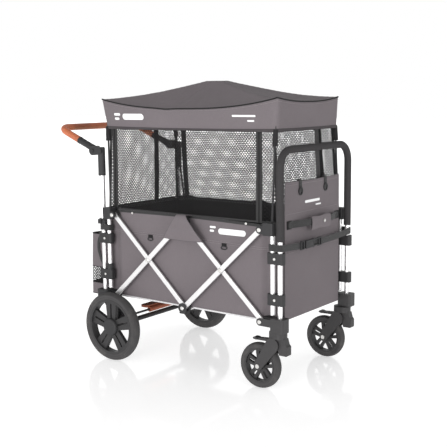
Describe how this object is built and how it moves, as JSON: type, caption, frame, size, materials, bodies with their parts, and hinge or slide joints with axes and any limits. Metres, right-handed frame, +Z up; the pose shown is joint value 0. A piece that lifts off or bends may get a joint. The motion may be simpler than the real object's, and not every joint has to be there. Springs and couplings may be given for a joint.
{
  "type": "kids pull wagon",
  "caption": "Folding kids pull wagon with cloth tub, netted canopy, scissor frame, large rear wheels, swivel front wheels, tilting push handle and rear basket.",
  "frame": {"origin": "floor level, under the middle of the overall box", "axes": "+X towards the swivel wheels and bumper bar, +Y to the wagon's left, +Z up"},
  "size_m": [1.1722, 0.644, 1.128],
  "materials": {
    "silver_tube": "satin anodised",
    "zinc_bolt": "zinc plated",
    "black_plastic": "moulded, fine grain",
    "grey_plastic": "moulded, satin",
    "rim_plastic": "moulded, satin",
    "tyre_rubber": "matt",
    "bar_foam": "closed-cell foam",
    "tan_leather": "stitched",
    "grey_cloth": "plain weave",
    "black_cloth": "plain weave",
    "black_mesh": "knitted mesh",
    "black_webbing": "ribbed webbing"
  },
  "bodies": {
    "fold_base": {"mid_bottom_brackets": "black_plastic", "mid_bottom_bolts": "zinc_bolt", "bottom_cross_tube": "silver_tube"},
    "front_outer": {"front_outer_arms": "silver_tube", "front_arm_rivets": "zinc_bolt"},
    "front_inner": {"front_inner_arms": "silver_tube"},
    "rear_outer": {"rear_outer_arms": "silver_tube", "rear_arm_rivets": "zinc_bolt"},
    "rear_inner": {"rear_inner_arms": "silver_tube"},
    "fold_top": {"mid_top_brackets": "black_plastic", "tub": "grey_cloth", "floor_mat": "black_cloth", "canopy": "grey_cloth", "side_netting": "black_mesh"},
    "front_sliders": {"front_slider_brackets": "black_plastic", "front_inner_tubes": "silver_tube", "front_canopy_rods": "black_plastic", "front_panel": "grey_cloth"},
    "rear_sliders": {"rear_slider_brackets": "black_plastic", "rear_inner_tubes": "silver_tube", "rear_canopy_rods": "black_plastic"},
    "front_frame": {"u_bar": "silver_tube", "u_bar_foam": "bar_foam", "front_guide_brackets": "black_plastic", "caster_housings": "grey_plastic", "front_frame_bolts": "zinc_bolt", "leg_strap": "black_webbing", "strap_buckle": "black_plastic"},
    "rear_frame": {"rear_posts": "silver_tube", "rear_guide_brackets": "black_plastic", "rear_housings": "black_plastic", "rear_frame_bolts": "zinc_bolt", "rear_axle": "black_plastic", "rear_basket": "grey_cloth"},
    "brake": {"brake_shaft": "black_plastic", "brake_pedal": "black_plastic"},
    "handle_slide": {"handle_tubes": "silver_tube", "handle_collars": "black_plastic", "handle_lower_sockets": "black_plastic"},
    "handle": {"handle_upper_sockets": "black_plastic", "handle_loop": "silver_tube", "handle_grip": "tan_leather"},
    "caster_left": {"caster_yoke_left": "grey_plastic", "caster_axle_left": "zinc_bolt"},
    "caster_lever_left": {"caster_lock_lever_left": "grey_plastic"},
    "front_wheel_left": {"front_rim_left": "rim_plastic", "front_tyre_left": "tyre_rubber"},
    "rear_wheel_left": {"rear_rim_left": "rim_plastic", "rear_tyre_left": "tyre_rubber", "rear_hub_cap_left": "black_plastic"},
    "hinge_button_left": {"hinge_button_left": "black_plastic"},
    "caster_right": {"caster_yoke_right": "grey_plastic", "caster_axle_right": "zinc_bolt"},
    "caster_lever_right": {"caster_lock_lever_right": "grey_plastic"},
    "front_wheel_right": {"front_rim_right": "rim_plastic", "front_tyre_right": "tyre_rubber"},
    "rear_wheel_right": {"rear_rim_right": "rim_plastic", "rear_tyre_right": "tyre_rubber", "rear_hub_cap_right": "black_plastic"},
    "hinge_button_right": {"hinge_button_right": "black_plastic"}
  },
  "joints": [
    {"name": "frame_fold", "type": "hinge", "parent": "fold_base", "child": "front_outer", "pos_m": [0.1181, 0, 0.258], "axis": [0, -1, 0], "range_deg": [0, 36.5], "deforming": ["tub", "floor_mat", "canopy", "side_netting"]},
    {"name": "front_arm_crossing", "type": "hinge", "parent": "front_outer", "child": "front_inner", "pos_m": [0.2991, 0, 0.4265], "axis": [0, -1, 0], "range_deg": [-73, 0]},
    {"name": "front_foot_pivot", "type": "hinge", "parent": "front_inner", "child": "front_frame", "pos_m": [0.4801, 0, 0.258], "axis": [0, -1, 0], "range_deg": [0, 36.5]},
    {"name": "front_top_pivot", "type": "hinge", "parent": "front_outer", "child": "front_sliders", "pos_m": [0.4801, 0, 0.595], "axis": [0, -1, 0], "range_deg": [-36.5, 0]},
    {"name": "mid_top_pivot", "type": "hinge", "parent": "front_inner", "child": "fold_top", "pos_m": [0.1181, 0, 0.595], "axis": [0, -1, 0], "range_deg": [0, 36.5]},
    {"name": "rear_fold", "type": "hinge", "parent": "fold_base", "child": "rear_outer", "pos_m": [0.1181, 0, 0.258], "axis": [0, -1, 0], "range_deg": [-36.5, 0]},
    {"name": "rear_arm_crossing", "type": "hinge", "parent": "rear_outer", "child": "rear_inner", "pos_m": [-0.0629, 0, 0.4265], "axis": [0, -1, 0], "range_deg": [0, 73]},
    {"name": "rear_foot_pivot", "type": "hinge", "parent": "rear_inner", "child": "rear_frame", "pos_m": [-0.2439, 0, 0.258], "axis": [0, -1, 0], "range_deg": [-36.5, 0]},
    {"name": "rear_top_pivot", "type": "hinge", "parent": "rear_outer", "child": "rear_sliders", "pos_m": [-0.2439, 0, 0.595], "axis": [0, -1, 0], "range_deg": [0, 36.5]},
    {"name": "caster_swivel_left", "type": "hinge", "parent": "front_frame", "child": "caster_left", "pos_m": [0.5481, 0.236, 0.224], "axis": [0, 0, 1], "continuous": true},
    {"name": "front_wheel_spin_left", "type": "hinge", "parent": "caster_left", "child": "front_wheel_left", "pos_m": [0.4631, 0.236, 0.086], "axis": [0, 1, 0], "continuous": true},
    {"name": "caster_lock_left", "type": "hinge", "parent": "caster_left", "child": "caster_lever_left", "pos_m": [0.5191, 0.236, 0.189], "axis": [0, 1, 0], "range_deg": [0, 12]},
    {"name": "rear_wheel_spin_left", "type": "hinge", "parent": "rear_frame", "child": "rear_wheel_left", "pos_m": [-0.2279, 0.3, 0.14], "axis": [0, 1, 0], "continuous": true},
    {"name": "hinge_button_press_left", "type": "slide", "parent": "handle_slide", "child": "hinge_button_left", "axis": [0, -1, 0], "range_m": [0, 0.004], "stiffness_N_per_m": 300},
    {"name": "caster_swivel_right", "type": "hinge", "parent": "front_frame", "child": "caster_right", "pos_m": [0.5481, -0.236, 0.224], "axis": [0, 0, 1], "continuous": true},
    {"name": "front_wheel_spin_right", "type": "hinge", "parent": "caster_right", "child": "front_wheel_right", "pos_m": [0.4631, -0.236, 0.086], "axis": [0, 1, 0], "continuous": true},
    {"name": "caster_lock_right", "type": "hinge", "parent": "caster_right", "child": "caster_lever_right", "pos_m": [0.5191, -0.236, 0.189], "axis": [0, 1, 0], "range_deg": [0, 12]},
    {"name": "rear_wheel_spin_right", "type": "hinge", "parent": "rear_frame", "child": "rear_wheel_right", "pos_m": [-0.2279, -0.3, 0.14], "axis": [0, 1, 0], "continuous": true},
    {"name": "hinge_button_press_right", "type": "slide", "parent": "handle_slide", "child": "hinge_button_right", "axis": [0, 1, 0], "range_m": [0, 0.004], "stiffness_N_per_m": 300},
    {"name": "brake_pedal_press", "type": "hinge", "parent": "rear_frame", "child": "brake", "pos_m": [-0.2079, 0, 0.172], "axis": [0, 1, 0], "range_deg": [-18, 0]},
    {"name": "handle_height", "type": "slide", "parent": "rear_frame", "child": "handle_slide", "axis": [0, 0, 1], "range_m": [0, 0.15]},
    {"name": "handle_tilt", "type": "hinge", "parent": "handle_slide", "child": "handle", "pos_m": [-0.3539, 0, 0.852], "axis": [0, 1, 0], "range_deg": [-100, 60]}
  ],
  "couplings": [
    {"joint": "front_arm_crossing", "follows": "frame_fold", "ratio": -2},
    {"joint": "front_foot_pivot", "follows": "frame_fold", "ratio": 1},
    {"joint": "front_top_pivot", "follows": "frame_fold", "ratio": -1},
    {"joint": "mid_top_pivot", "follows": "frame_fold", "ratio": 1},
    {"joint": "rear_fold", "follows": "frame_fold", "ratio": -1},
    {"joint": "rear_arm_crossing", "follows": "frame_fold", "ratio": 2},
    {"joint": "rear_foot_pivot", "follows": "frame_fold", "ratio": -1},
    {"joint": "rear_top_pivot", "follows": "frame_fold", "ratio": 1}
  ]
}
